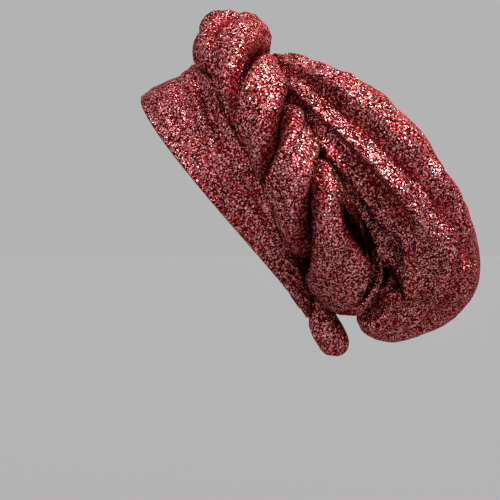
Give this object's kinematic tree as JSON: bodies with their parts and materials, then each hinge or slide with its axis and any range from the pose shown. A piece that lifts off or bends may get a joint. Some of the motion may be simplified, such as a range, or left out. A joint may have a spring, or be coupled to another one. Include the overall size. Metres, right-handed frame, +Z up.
{
  "type": "turban cap",
  "caption": "Slouchy glitter cloth turban cap with a smooth front band, a stuffed twist laid over the head, a gathered bag behind and a short tail at the nape.",
  "frame": {"origin": "middle of the head opening, where the head goes in", "axes": "+Z up, -Y is where the wearer faces, +X is the wearer's left, as the cap sits on an upright head"},
  "size_m": [0.234, 0.2498, 0.2617],
  "materials": {
    "glitter_cloth": "dark maroon cloth with pink metallic glitter"
  },
  "bodies": {
    "root": {"front_band": "glitter_cloth", "crown_bag": "glitter_cloth", "twist_strand_1": "glitter_cloth", "twist_strand_2": "glitter_cloth", "nape_tail": "glitter_cloth"}
  },
  "joints": []
}
